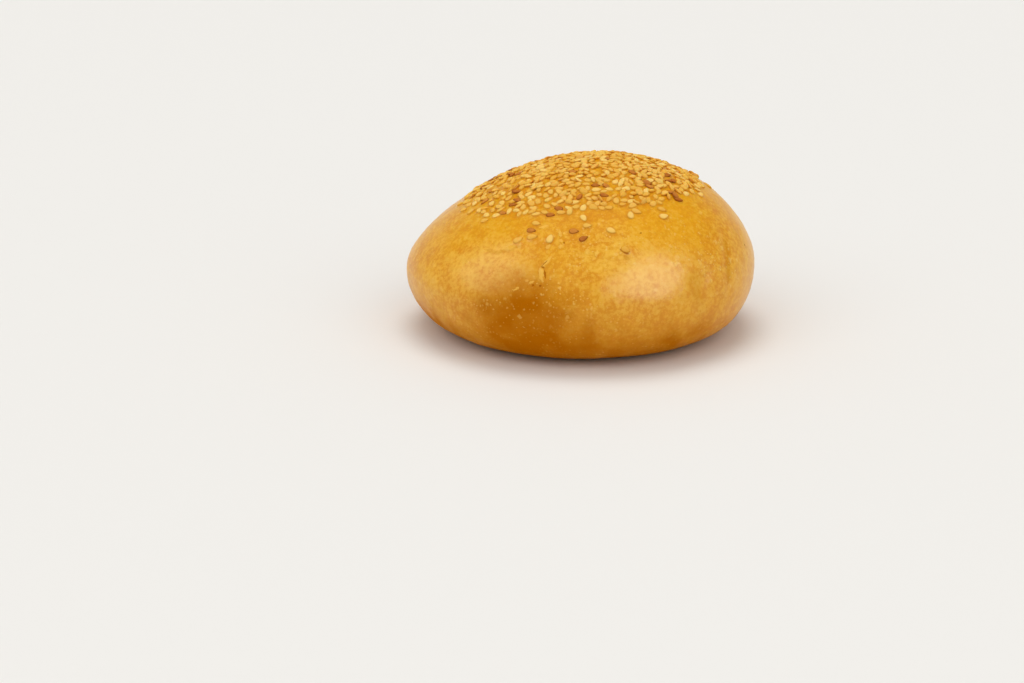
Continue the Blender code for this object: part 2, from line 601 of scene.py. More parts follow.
@dataclass(frozen=True)
class BunForm:
    """The bread's form, from the solid's own sizes."""

    width: float = 0.1082
    depth: float = 0.1064
    belly_height: float = 0.0195
    crown_rise: float = 0.0336
    crown_slimming: float = 0.165
    crown_slim_power: float = 1.5
    lean: float = 0.20
    lean_power: float = 1.25
    edge_rounding: float = 0.40
    edge_power: float = 8
    edge_overreach: float = 1.12
    out_of_round: tuple = ((2, 0.004, 35.0), (3, 0.006, 120.0), (5, 0.003, 230.0))
    swellings: tuple = (
        Swelling(-101.0, 27.0, 0.0110, -0.0008),
        Swelling(-106.0, 6.0, 0.0090, -0.0005),
        Swelling(-128.0, 20.0, 0.0140, 0.0005),
        Swelling(-68.0, 18.0, 0.0150, 0.0008),
        Swelling(-49.0, 8.0, 0.0065, -0.0009),
        Swelling(-12.0, 20.0, 0.0160, 0.0005),
        Swelling(38.0, 14.0, 0.0140, -0.0007),
        Swelling(78.0, 22.0, 0.0170, 0.0007),
        Swelling(118.0, 8.0, 0.0120, -0.0007),
        Swelling(165.0, 28.0, 0.0190, -0.0006),
        Swelling(182.0, -13.0, 0.0120, 0.0008),
        Swelling(10.0, 47.0, 0.0110, 0.0006),
    )

    def belly_radius(self, bearing: np.ndarray) -> np.ndarray:
        """Distance from the middle to the belly.

        Args:
            bearing: angles in radians.

        Returns:
            Metres for each bearing.
        """
        oval = 1 / np.hypot(2 * np.cos(bearing) / self.width, 2 * np.sin(bearing) / self.depth)
        waves = [
            share * np.cos(lobes * bearing + math.radians(phase)) for lobes, share, phase in self.out_of_round
        ]
        return oval * (1 + sum(waves))

    def plain(self, bearing: np.ndarray, latitude: np.ndarray) -> np.ndarray:
        """Places on the bread before its rises and hollows.

        Args:
            bearing: angles in radians.
            latitude: angles in radians.

        Returns:
            One point for each pair of angles, its coordinates along the last axis.
        """
        climb = np.abs(np.sin(latitude))
        crown = latitude >= 0
        slimming = 1 - self.crown_slimming * climb**self.crown_slim_power
        squarer = (1 - self.edge_rounding) * climb**self.edge_power
        edge = np.sqrt(np.maximum(0, 1 - self.edge_rounding * climb**2 - squarer))
        reach = np.where(crown, np.cos(latitude) * slimming, edge)
        above = self.belly_height + self.crown_rise * climb
        below = self.belly_height * (1 - self.edge_overreach * climb)
        shift = np.where(crown, self.lean * self.crown_rise * climb**self.lean_power, 0)
        radius = reach * self.belly_radius(bearing)
        across = radius * np.cos(bearing) + shift
        return np.stack([across, radius * np.sin(bearing), np.where(crown, above, below)], axis=-1)

    def middle(self) -> np.ndarray:
        """Middle of the bread's extent along X and Y, which the origin lies under.

        Returns:
            The point, at height 0.
        """
        rounds = np.radians(np.arange(0, 360, 5))
        levels = np.radians(np.arange(-40, 41, 4))
        rim = self.plain(*np.meshgrid(rounds, levels))
        centre = (rim.max(axis=(0, 1)) + rim.min(axis=(0, 1))) / 2
        return centre * (1, 1, 0)

    def points(self, bearing: np.ndarray, latitude: np.ndarray) -> np.ndarray:
        """Places on the finished bread, cut flat where it meets the ground.

        Args:
            bearing: angles in radians.
            latitude: angles in radians.

        Returns:
            One point for each pair of angles, in the frame.
        """
        plain = self.plain(bearing, latitude)
        outward = plain - (0, 0, self.belly_height)
        outward /= np.linalg.norm(outward, axis=-1, keepdims=True)
        moved = plain.copy()
        for swell in self.swellings:
            peak = self.plain(math.radians(swell.bearing), math.radians(swell.latitude))
            near = np.exp(-((np.linalg.norm(plain - peak, axis=-1) / swell.reach) ** 2))
            moved += outward * (swell.rise * near)[..., None]
        moved[..., 2] = np.maximum(moved[..., 2], 0)
        return moved - self.middle()

    def point(self, bearing: float, latitude: float) -> Vector:
        """One place on the finished bread."""
        return Vector(self.points(np.array(bearing), np.array(latitude)))

    def seat(self, bearing: float, latitude: float) -> Matrix:
        """Axes at a place on the bread.

        Args:
            bearing: angle in radians.
            latitude: angle in radians.

        Returns:
            X that runs level round the bread, Y that climbs the crown and Z that faces out, as columns.
        """
        step = math.radians(0.6)
        level = self.point(bearing + step, latitude) - self.point(bearing - step, latitude)
        climb = self.point(bearing, latitude + step) - self.point(bearing, latitude - step)
        outward = level.cross(climb).normalized()
        level.normalize()
        return Matrix((level, outward.cross(level), outward)).transposed()


class SeedKind(Enum):
    """How far a seed is baked."""

    GOLDEN = "seeds_golden"
    PALE = "seeds_pale"
    TOASTED = "seeds_toasted"


@dataclass
class Seed:
    """One seed: its place on the crown and its own shape."""

    bearing: float
    latitude: float
    heading: float
    size: float
    roll: float
    kind: SeedKind
    tone: float
    breadth: float
    bend: float
    pitch: float = 0.0
    lift: float = 0.0


@dataclass(frozen=True)
class StraySeed:
    """A seed apart from the others: bearing, latitude and heading in degrees."""

    bearing: float
    latitude: float
    heading: float
    kind: SeedKind
    tone: float

    def angles(self) -> tuple[float, float, float]:
        """Bearing, latitude and heading in radians."""
        return math.radians(self.bearing), math.radians(self.latitude), math.radians(self.heading)


def stray(
    bearing: float, latitude: float, heading: float, kind: str = "GOLDEN", tone: float = 0.4
) -> StraySeed:
    """Names one stray seed."""
    return StraySeed(bearing, latitude, heading, SeedKind[kind], tone)


@dataclass
class SeedTopping:
    """The seeds baked onto the crown: those of the solid, and the finer cover between and over them.

    Sizes and gaps are in metres, tilts in degrees, and pairs are the least and the most of a draw.
    """

    form: BunForm
    length: float = 0.0031
    breadth: float = 0.0020
    thickness: float = 0.00088
    taper: float = 0.26
    lift: float = 0.00018
    sinking: float = 0.55
    kind_weights: tuple = (0.76, 0.19, 0.05)
    solid_tilt: float = 7.0
    solid_sizes: tuple = (0.9, 1.1)
    solid_breadths: tuple = (0.92, 1.08)
    solid_bends: tuple = (0.0, 0.14)
    solid_gap: float = 0.0037
    solid_count: int = 225
    solid_tries: int = 9000
    solid_draw: int = 7
    patch_reach: float = 0.685
    patch_shift: float = 0.07
    patch_shift_bearing: float = 175.0
    patch_oval: float = 0.045
    cover_count: int = 500
    cover_gap: float = 0.00158
    cover_draw: int = 23
    cover_tries: int = 20
    cover_tilt: float = 15.0
    cover_sizes: tuple = (0.82, 1.12)
    cover_breadths: tuple = (0.85, 1.12)
    cover_bends: tuple = (-0.05, 0.18)
    cover_overreach: float = 1.02
    thinning_start: float = 0.88
    thinning: float = 4.0
    raised_share: float = 0.04
    raised_tilts: tuple = (20, 50)
    raised_lift: float = 0.12
    rest_share: float = 0.40
    near_share: float = 1.25
    pitch_gain: float = 1.2
    roll_limit: float = 0.5
    centre_share: float = 0.9
    dome_power: float = 0.4
    sides: int = 16
    rings: tuple = (0.30, 0.58, 0.80, 0.93, 1.0)
    under_rings: tuple = (0.88, 0.5)
    strays: tuple = (
        stray(-147.0, 36.5, 35, tone=0.6), stray(-144.0, 40.2, 30, "PALE"), stray(-123.0, 32.2, 40, tone=0.5),
        stray(-120.2, 37.4, 5, "TOASTED", 0.5), stray(-118.0, 34.6, 20, tone=0.5), stray(-120.2, 41.0, -5),
        stray(-116.2, 46.0, 10, "TOASTED", 0.8), stray(-110.0, 34.8, 85, "PALE", 0.3),
        stray(-100.8, 39.2, 0, "TOASTED", 0.1), stray(-98.0, 45.8, -60, "PALE", 0.1), stray(-95.2, 42.0, 0),
        stray(-95.5, 35.8, 30, "TOASTED", 0.9), stray(-83.5, 39.5, -35, "PALE", 0.6),
        stray(-77.5, 30.2, -35, tone=0.9), stray(-73.0, 46.8, 80, "PALE", 0.3), stray(-69.2, 48.5, -35),
        stray(-54.0, 47.8, -35, tone=0.8), stray(-55.2, 44.2, 0, "PALE", 0.3),
        stray(-38.0, 50.5, -40, "TOASTED", 1.0), stray(-16.2, 47.2, 0, "PALE", 0.5), stray(8.0, 44.0, 60),
        stray(31.0, 41.0, 20, "PALE"), stray(52.0, 46.0, -40), stray(70.0, 37.0, 75, "TOASTED"),
        stray(95.0, 43.0, 15), stray(113.0, 38.0, -60, "PALE"), stray(131.0, 42.0, 0),
        stray(146.0, 38.0, 45, "TOASTED"), stray(179.5, 35.0, 55), stray(-169.0, 35.5, 30),
        stray(-162.2, 37.0, 75, tone=0.2), stray(-149.5, 38.8, 0, "PALE", 0.4),
        stray(-142.0, 42.0, 10, "TOASTED", 0.4), stray(-136.2, 45.0, 0, "PALE", 0.5),
        stray(-111.2, 47.8, 5, tone=0.6), stray(-100.0, 51.2, 80, "PALE", 0.1), stray(-97.2, 53.8, 85),
        stray(-91.8, 53.8, 60), stray(-70.2, 54.2, 20, "PALE", 0.6), stray(-57.0, 51.5, 30),
        stray(-49.5, 53.0, 0, tone=0.7), stray(-55.2, 59.3, 40, "PALE", 0.0),
        stray(-42.2, 64.8, 0, "PALE", 0.2), stray(-21.0, 59.5, 20, "TOASTED", 0.8),
        stray(-37.8, 55.2, -30, "TOASTED", 0.5), stray(-19.8, 50.8, 20, tone=0.3),
        stray(-96.2, 65.0, 0, "TOASTED", 0.9), stray(-94.8, 62.0, 10, "PALE", 0.3), stray(-80.0, 55.2, 80),
    )
    seeds: list = field(default_factory=list)

    def patch_edge(self, bearing: float) -> float:
        """Edge of the seeded patch towards bearing, as a share of the belly's radius."""
        shift = self.patch_shift * math.cos(bearing - math.radians(self.patch_shift_bearing))
        return self.patch_reach + shift + self.patch_oval * math.cos(2 * bearing)

    def any_kind(self, draw: random.Random) -> SeedKind:
        """Draws a kind of seed in the shares that the topping has."""
        return draw.choices(list(SeedKind), weights=self.kind_weights)[0]

    def plan_solid_seeds(self) -> None:
        """Lists the seeds that the solid has, from the same draws."""
        draw = random.Random(self.solid_draw)
        places = [known.angles() for known in self.strays]
        points = [self.form.point(bearing, latitude) for bearing, latitude, _ in places]
        tries = []
        for _ in range(self.solid_tries):
            bearing = draw.uniform(-math.pi, math.pi)
            latitude = math.acos(math.sqrt(draw.random()) * self.patch_edge(bearing))
            tries.append((bearing, latitude, draw.uniform(-math.pi, math.pi)))
        angles = np.array(tries)
        for place, spot in zip(tries, self.form.points(angles[:, 0], angles[:, 1])):
            point = Vector(spot)
            if len(places) >= self.solid_count:
                break
            if all((point - other).length > self.solid_gap for other in points):
                places.append(place)
                points.append(point)
        looks = random.Random(self.cover_draw)
        for number, place in enumerate(places):
            size = draw.uniform(*self.solid_sizes)
            roll = math.radians(draw.uniform(-self.solid_tilt, self.solid_tilt))
            known = self.strays[number] if number < len(self.strays) else None
            kind = known.kind if known else self.any_kind(looks)
            tone = known.tone if known else looks.random()
            breadth = looks.uniform(*self.solid_breadths)
            bend = looks.uniform(*self.solid_bends)
            self.seeds.append(Seed(*place, size, roll, kind, tone, breadth, bend, lift=self.lift))
        LOG.info("%d seeds of the solid", len(self.seeds))

    def plan_cover(self) -> None:
        """Adds the seeds between and over those of the solid, each settled on what already lies there."""
        draw = random.Random(self.cover_draw + 1)
        points = [self.form.point(seed.bearing, seed.latitude) for seed in self.seeds]
        seats = [self.form.seat(seed.bearing, seed.latitude) for seed in self.seeds]
        wanted = len(self.seeds) + self.cover_count
        for _ in range(self.cover_tries * self.cover_count):
            if len(self.seeds) >= wanted:
                break
            bearing = draw.uniform(-math.pi, math.pi)
            share = math.sqrt(draw.random())
            latitude = math.acos(min(1.0, share * self.cover_overreach) * self.patch_edge(bearing))
            heading = draw.uniform(-math.pi, math.pi)
            lot = draw.random()
            size = draw.uniform(*self.cover_sizes)
            kind = self.any_kind(draw)
            tone = draw.random()
            breadth = draw.uniform(*self.cover_breadths)
            bend = draw.uniform(*self.cover_bends)
            point = self.form.point(bearing, latitude)
            crowded = any((point - other).length < self.cover_gap for other in points)
            if crowded or lot < max(0.0, share - self.thinning_start) * self.thinning:
                continue
            roll = math.radians(draw.uniform(-self.cover_tilt, self.cover_tilt))
            seed = Seed(bearing, latitude, heading, size, roll, kind, tone, breadth, bend)
            seat = self.form.seat(bearing, latitude)
            self.settle(seed, point, seat, points, seats)
            if draw.random() < self.raised_share:
                seed.roll += math.radians(draw.choice((-1, 1)) * draw.uniform(*self.raised_tilts))
                seed.lift += self.breadth * self.raised_lift
            self.seeds.append(seed)
            points.append(point)
            seats.append(seat)
        LOG.info("%d seeds in all", len(self.seeds))

    def settle(self, seed: Seed, point: Vector, seat: Matrix, points: list, seats: list) -> None:
        """Lays a seed on the seeds under its two ends and its two sides.

        Args:
            seed: the seed, whose lift, pitch and roll are set.
            point: its place on the bread.
            seat: the bread's axes there.
            points: places of the seeds that already lie there.
            seats: axes of those seeds.
        """
        turn = Matrix.Rotation(seed.heading, 3, "Z")
        along = seat @ turn @ Vector((1, 0, 0))
        across = seat @ turn @ Vector((0, 1, 0))
        half = self.length * seed.size * self.rest_share
        side = self.breadth * seed.size * self.rest_share
        reach = self.length * self.near_share
        near = [number for number, other in enumerate(points) if (other - point).length < reach]
        front = self.cover_height(point + along * half, near, points, seats)
        back = self.cover_height(point - along * half, near, points, seats)
        left = self.cover_height(point + across * side, near, points, seats)
        right = self.cover_height(point - across * side, near, points, seats)
        centre = self.cover_height(point, near, points, seats)
        seed.pitch = -math.atan2(front - back, 2 * half) * self.pitch_gain
        seed.roll += max(-self.roll_limit, min(self.roll_limit, math.atan2(left - right, 2 * side)))
        highest = max((front + back) / 2, (left + right) / 2, centre * self.centre_share)
        seed.lift = self.lift + self.sinking * highest

    def cover_height(self, spot: Vector, near: list, points: list, seats: list) -> float:
        """Height of the seeds over a spot on the bread.

        Args:
            spot: the place asked about.
            near: numbers of the seeds close by.
            points: places of all seeds.
            seats: axes of all seeds.

        Returns:
            Metres above the bread, 0 where it is bare.
        """
        height = 0.0
        for number in near:
            other = self.seeds[number]
            axes = seats[number] @ Matrix.Rotation(other.heading, 3, "Z")
            turned = axes.transposed() @ (spot - points[number])
            length = self.length * other.size / 2
            breadth = self.breadth * other.size / 2
            inside = 1 - (turned.x / length) ** 2 - (turned.y / breadth) ** 2
            if inside > 0:
                height = max(height, other.lift + self.thickness / 2 * inside**self.dome_power)
        return height

    def template(self) -> tuple[np.ndarray, np.ndarray, list]:
        """A seed of half sizes 1, as rings from the middle of its top to the middle of its underside.

        Returns:
            Its points, each point's ring as a share of the way out to the rim, and its faces.
        """
        turns = np.arange(self.sides) * 2 * math.pi / self.sides
        outline = np.stack([np.cos(turns), np.sin(turns)], axis=-1)
        top = [(ring, (1 - ring**2.5) ** 0.55) for ring in self.rings]
        under = [(ring, -((1 - ring**2.4) ** 0.6)) for ring in self.under_rings]
        rows = top + under
        points = [(0.0, 0.0, 1.0)]
        rims = [0.0]
        for ring, height in rows:
            points += [(x * ring, y * ring, height) for x, y in outline]
            rims += [ring] * self.sides
        points.append((0.0, 0.0, -1.0))
        rims.append(0.0)
        faces = []
        for i in range(self.sides):
            after = (i + 1) % self.sides
            faces.append((0, 1 + i, 1 + after))
            for row in range(len(rows) - 1):
                start = 1 + row * self.sides
                faces.append((start + i, start + self.sides + i, start + self.sides + after, start + after))
            last = 1 + (len(rows) - 1) * self.sides
            faces.append((last + i, len(points) - 1, last + after))
        return np.array(points), np.array(rims), faces

    def shaped(self, template: np.ndarray, seed: Seed) -> np.ndarray:
        """Gives the template one seed's own shape and lays it on the crown.

        Args:
            template: points of a seed of half sizes 1.
            seed: the seed.

        Returns:
            Its points in the frame.
        """
        shape = template.copy()
        along = shape[:, 0]
        # A tapered outline that ends in a small tip.
        shape[:, 1] *= (1 - self.taper * along) * (1 - 0.10 * np.maximum(along, 0) ** 4)
        shape[:, 0] += 0.07 * np.maximum(along, 0) ** 6
        # Uneven faces inside an even rim.
        wobble = np.sin(3.1 * along + 9 * seed.tone) * np.cos(2.3 * shape[:, 1] + 5 * seed.breadth)
        shape[:, 2] += 0.10 * wobble * (np.abs(shape[:, 2]) > 0.01)
        thickness = self.thickness * (0.90 + 0.2 * seed.tone)
        shape *= (self.length * seed.size / 2, self.breadth * seed.size * seed.breadth / 2, thickness / 2)
        shape[:, 2] -= seed.bend * self.thickness * along**2
        axes = self.form.seat(seed.bearing, seed.latitude) @ Matrix.Rotation(seed.heading, 3, "Z")
        lean = Matrix.Rotation(seed.pitch, 3, "Y") @ Matrix.Rotation(seed.roll, 3, "X")
        place = np.array(self.form.point(seed.bearing, seed.latitude)) + np.array(axes.col[2]) * seed.lift
        return shape @ np.array(axes @ lean).T + place

    def build(self) -> None:
        """Plans all seeds and makes one joined mesh for each kind."""
        self.plan_solid_seeds()
        self.plan_cover()
        template, rims, faces = self.template()
        tips = np.clip((template[:, 0] - 0.72) / 0.25, 0, 1)
        for kind in SeedKind:
            chosen = [seed for seed in self.seeds if seed.kind is kind]
            points = np.concatenate([self.shaped(template, seed) for seed in chosen])
            shifts = [number * len(template) for number in range(len(chosen))]
            joined = [tuple(corner + shift for corner in face) for shift in shifts for face in faces]
            piece = mesh_piece(kind.value, points, joined)
            keep_values(piece, "tone", np.repeat([seed.tone for seed in chosen], len(template)))
            keep_values(piece, "rim", np.tile(rims, len(chosen)))
            keep_values(piece, "tip", np.tile(tips, len(chosen)))
            self.dress(piece, kind)

    def dress(self, piece: bpy.types.Object, kind: SeedKind) -> None:
        """Gives one kind of seed its finish and its body.

        Args:
            piece: the seeds.
            kind: how far they are baked.
        """
        finishes = {
            SeedKind.GOLDEN: SeedFinish(
                "seed_golden", light=(0.85, 0.49, 0.105), deep=(0.77, 0.39, 0.048), rim=(0.65, 0.26, 0.011)
            ),
            SeedKind.PALE: SeedFinish(
                "seed_pale", light=(0.90, 0.59, 0.17), deep=(0.84, 0.49, 0.092), rim=(0.68, 0.30, 0.018)
            ),
            SeedKind.TOASTED: SeedFinish(
                "seed_toasted", light=(0.62, 0.25, 0.045), deep=(0.40, 0.115, 0.020), rim=(0.25, 0.060, 0.008)
            ),
        }
        finish_piece(piece, finishes[kind].material())


@dataclass(frozen=True)
class TintPlace:
    """A patch that is paler or darker: bearing and latitude in degrees, reaches in metres."""

    bearing: float
    latitude: float
    across: float
    up: float
    strength: float


@dataclass
class Crust:
    """The bread's baked skin: the solid's form with its lumps, creases, tears and blisters.

    Heights, depths, sizes and fades are in metres, and shares go from 0 to 1.
    """

    form: BunForm
    cuts: int = 127
    lump_sizes: tuple = ((0.017, 0.00018), (0.0070, 0.00010), (0.0028, 0.000035))
    blister_count: int = 900
    blister_draw: int = 11
    # Darker towards the bottom: partly a browner baked base, partly painted shade low on the bun.
    base_browning_and_shade: float = 0.74
    brown_height: float = 0.019
    speckling: float = 0.26
    glaze_depth: float = 0.00020
    glaze_start: float = 0.0009
    glaze_fade: float = 0.0010
    # Share of the darkening round the seeds: browned glaze and painted shade.
    glaze_and_shade_share: float = 0.6
    underside_height: float = 0.0016
    underside_fade: float = 0.0012
    underside_lump: float = 0.0035
    underside_relief: float = 0.00012
    blister_height: float = 0.00007
    blister_reaches: tuple = (0.0004, 0.0011)
    blister_latitudes: tuple = (-50, 62, 4)
    blister_paleness: float = 0.3
    lip_offset: float = 1.9
    lip_height: float = 0.35
    mottle_lump: float = 0.006
    patch_thickness: float = 0.02
    creases: tuple = (
        Crease(
            ((-27.5, 29.0), (-31.5, 21.0), (-34.5, 13.0), (-36.0, 2.0), (-35.5, -8.0)),
            0.0017, 0.00017, 0.20, 0.12,
        ),
        Crease(((-51.5, 2.0), (-49.5, 8.5), (-46.0, 13.0), (-44.5, 17.0)), 0.0024, 0.00012, 0.0, 0.30),
        Crease(((64.0, 12.0), (70.0, 8.0), (77.0, 9.0)), 0.0016, 0.00020, 0.2, 0.2),
        Crease(((148.0, 20.0), (150.0, 12.0), (149.0, 3.0)), 0.0016, 0.00016, 0.2),
    )
    flaps: tuple = (
        Mark((-106.2, 27.4), (-108.4, 21.2), 0.00058),
        Mark((-109.2, 21.4), (-107.2, 17.2), 0.00072),
        Mark((-108.1, 19.2), (-106.1, 14.2), 0.00062),
        Mark((-117.5, 39.0), (-113.8, 41.2), 0.00045),
        Mark((-109.8, 30.3), (-108.9, 32.2), 0.00055),
        Mark((-107.5, 39.4), (-106.0, 36.2), 0.00050),
        Mark((-105.9, 35.6), (-104.3, 33.6), 0.00050),
        Mark((-105.0, 31.2), (-103.6, 32.6), 0.00065),
        Mark((-111.2, 13.4), (-109.0, 14.9), 0.00040),
        Mark((-116.0, 9.0), (-113.6, 11.6), 0.00040),
        Mark((-89.0, 30.6), (-88.8, 27.6), 0.00060),
        Mark((-93.0, 31.2), (-92.5, 28.8), 0.00050),
        Mark((-30.6, 41.8), (-32.0, 40.2), 0.00060),
        Mark((-33.0, 23.4), (-34.2, 21.4), 0.00055),
        Mark((-41.8, 19.8), (-40.0, 20.7), 0.00055),
        Mark((-38.4, 19.5), (-37.6, 17.9), 0.00050),
        Mark((-43.2, 17.8), (-41.6, 18.7), 0.00050),
        Mark((-40.4, 15.1), (-39.3, 13.2), 0.00050),
        Mark((-47.2, 20.6), (-47.6, 17.4), 0.00055),
        Mark((-58.0, 22.4), (-57.2, 20.8), 0.00110),
        Mark((-43.8, 9.8), (-43.2, 8.6), 0.00050),
        Mark((28.0, 22.0), (30.0, 18.5), 0.00060),
        Mark((101.0, 17.0), (104.5, 15.5), 0.00060),
        Mark((149.0, 24.0), (152.0, 21.0), 0.00050),
    )
    # Small cracks and pits, painted dark as the shade inside them.
    slits: tuple = (
        Mark((-107.2, 20.6), (-105.6, 16.4), 0.00026),
        Mark((-108.7, 21.9), (-107.4, 21.3), 0.00028),
        Mark((-107.3, 25.0), (-108.6, 22.0), 0.00014),
        Mark((-79.9, 31.0), (-78.2, 28.9), 0.00032),
        Mark((-78.7, 29.2), (-76.0, 28.1), 0.00034),
        Mark((-70.2, 37.9), (-69.8, 37.3), 0.00040),
        Mark((-107.0, 13.4), (-106.5, 12.4), 0.00034),
        Mark((-109.6, 13.3), (-108.9, 12.7), 0.00028),
        Mark((-103.6, 34.2), (-103.1, 33.1), 0.00022),
        Mark((-16.8, 17.9), (-16.2, 16.9), 0.00028),
        Mark((29.6, 21.6), (30.6, 19.2), 0.00020),
        Mark((102.0, 16.0), (104.2, 15.0), 0.00020),
        Mark((62.0, 30.0), (62.6, 29.2), 0.00035),
    )
    # Fold lines: painted shade of small folds, drawn in the colour only.
    folds: tuple = (
        Mark((-133.5, 25.4), (-127.2, 24.9), 0.00036),
        Mark((-128.4, 25.0), (-122.4, 27.8), 0.00032),
        Mark((-124.0, 27.4), (-119.6, 30.6), 0.00022),
        Mark((-78.6, 27.6), (-76.6, 26.2), 0.00050),
        Mark((-29.6, 25.0), (-32.0, 18.0), 0.00060),
        Mark((-32.8, 19.5), (-35.6, 6.0), 0.00080),
        Mark((68.0, 21.0), (74.0, 18.5), 0.00040),
        Mark((147.0, 19.0), (149.0, 9.0), 0.00060),
    )
    # Paler patches. The first three, on the left and right rises at the front and between the right rise and
    # the seeds, are partly painted highlight where the glaze shines; the rest are less-baked crust.
    pale_places: tuple = (
        TintPlace(-128.0, 17.0, 0.015, 0.009, 0.70),
        TintPlace(-68.0, 14.0, 0.018, 0.010, 0.35),
        TintPlace(-80.0, 28.0, 0.014, 0.007, 0.55),
        TintPlace(-129.0, 28.5, 0.005, 0.0022, 0.45),
        TintPlace(-146.0, 4.0, 0.016, 0.007, 0.20),
        TintPlace(-172.0, 30.0, 0.014, 0.010, 0.20),
        TintPlace(-18.0, 12.0, 0.010, 0.014, 0.25),
        TintPlace(30.0, 30.0, 0.016, 0.010, 0.25),
        TintPlace(76.0, 16.0, 0.018, 0.008, 0.40),
        TintPlace(122.0, 20.0, 0.016, 0.009, 0.30),
        TintPlace(165.0, 10.0, 0.014, 0.008, 0.30),
    )
    # Darker patches. The four low ones at the front, bearings -146 to -66, are painted shade low on the
    # front, partly also browner crust; the low ones at 52 and 138 carry that darker band round the back. The
    # one at -50 is painted shade in the hollow beside the right rise; the rest are smaller darker spots.
    brown_places: tuple = (
        TintPlace(-111.0, -10.0, 0.0200, 0.0150, 1.12),
        TintPlace(-106.0, -40.0, 0.0330, 0.0170, 1.05),
        TintPlace(-66.0, -46.0, 0.0330, 0.0140, 0.90),
        TintPlace(-146.0, -46.0, 0.0300, 0.0130, 0.85),
        TintPlace(-50.0, 5.0, 0.0060, 0.0085, 0.40),
        TintPlace(-20.0, 24.0, 0.0160, 0.0160, 0.18),
        TintPlace(-16.5, 17.0, 0.0019, 0.0026, 0.40),
        TintPlace(-76.5, 26.0, 0.0016, 0.0030, 0.30),
        TintPlace(52.0, -36.0, 0.0260, 0.0150, 0.90),
        TintPlace(138.0, -36.0, 0.0280, 0.0160, 1.00),
    )
    speckled_places: tuple = (
        TintPlace(-41.0, 20.0, 0.0110, 0.0110, 1.30),
        TintPlace(-32.0, 14.0, 0.0080, 0.0120, 1.00),
        TintPlace(-101.0, 8.0, 0.0140, 0.0090, 0.95),
        TintPlace(-116.0, -4.0, 0.0160, 0.0090, 0.80),
        TintPlace(-96.0, 24.0, 0.0070, 0.0080, 0.50),
        TintPlace(-52.0, 34.0, 0.0140, 0.0090, 0.90),
        TintPlace(-84.0, 35.0, 0.0220, 0.0080, 1.00),
        TintPlace(58.0, 4.0, 0.0200, 0.0110, 0.80),
        TintPlace(134.0, 6.0, 0.0200, 0.0110, 0.85),
        TintPlace(-170.0, -2.0, 0.0120, 0.0080, 0.60),
    )

    def grid(self) -> bpy.types.Object:
        """A cube's even grid, carried onto the bread.

        Returns:
            The piece, without its relief.
        """
        form = bmesh.new()
        bmesh.ops.create_cube(form, size=2.0)
        bmesh.ops.subdivide_edges(form, edges=form.edges[:], cuts=self.cuts, use_grid_fill=True)
        mesh = bpy.data.meshes.new("crust")
        form.to_mesh(mesh)
        form.free()
        ball = np.tan(read_vectors(mesh, "co") * math.pi / 4)
        ball /= np.linalg.norm(ball, axis=1, keepdims=True)
        bearing = np.arctan2(ball[:, 1], ball[:, 0])
        latitude = np.arcsin(ball[:, 2])
        mesh.vertices.foreach_set("co", self.form.points(bearing, latitude).ravel())
        mesh.update()
        piece = bpy.data.objects.new("crust", mesh)
        bpy.context.scene.collection.objects.link(piece)
        return piece

    def distance_to(self, places: np.ndarray, run: tuple) -> tuple[np.ndarray, np.ndarray]:
        """Distance from each place to a run drawn on the bread.

        Args:
            places: points on the bread.
            run: bearings and latitudes in degrees.

        Returns:
            The distances, and how far along the run each nearest point is, from 0 to 1.
        """
        stops = np.radians(np.array(run, float))
        line = np.array([self.form.points(*stop) for stop in stops])
        nearest = np.full(len(places), 1.0)
        share = np.zeros(len(places))
        for number, (start, end) in enumerate(zip(line[:-1], line[1:])):
            leg = end - start
            along = np.clip((places - start) @ leg / (leg @ leg), 0, 1)
            gap = np.linalg.norm(places - start - along[:, None] * leg, axis=1)
            closer = gap < nearest
            nearest = np.where(closer, gap, nearest)
            share = np.where(closer, (number + along) / (len(line) - 1), share)
        return nearest, share

    def blisters(self, places: np.ndarray) -> np.ndarray:
        """Small raised bubbles, thickest low on the sides.

        Args:
            places: points on the bread.

        Returns:
            How far each place is up a bubble, from 0 to 1.
        """
        draw = random.Random(self.blister_draw)
        tree = kdtree.KDTree(self.blister_count)
        reaches = []
        for number in range(self.blister_count):
            bearing = draw.uniform(-math.pi, math.pi)
            latitude = math.radians(draw.triangular(*self.blister_latitudes))
            tree.insert(self.form.point(bearing, latitude), number)
            reaches.append(draw.uniform(*self.blister_reaches))
        tree.balance()
        found = [tree.find(place) for place in places]
        return np.array([max(0.0, 1 - (gap / reaches[number]) ** 2) for _, number, gap in found])

    def near_seeds(self, places: np.ndarray, topping: SeedTopping) -> np.ndarray:
        """How close each place is to a seed, where the glaze pools and browns and painted shade darkens the
        crust.

        Args:
            places: points on the bread.
            topping: the seeds.

        Returns:
            A value from 0 to 1 for each place.
        """
        tree = kdtree.KDTree(len(topping.seeds))
        for number, seed in enumerate(topping.seeds):
            tree.insert(self.form.point(seed.bearing, seed.latitude), number)
        tree.balance()
        gaps = np.array([tree.find(place)[2] for place in places])
        return np.clip(1 - (gaps - self.glaze_start) / self.glaze_fade, 0, 1)

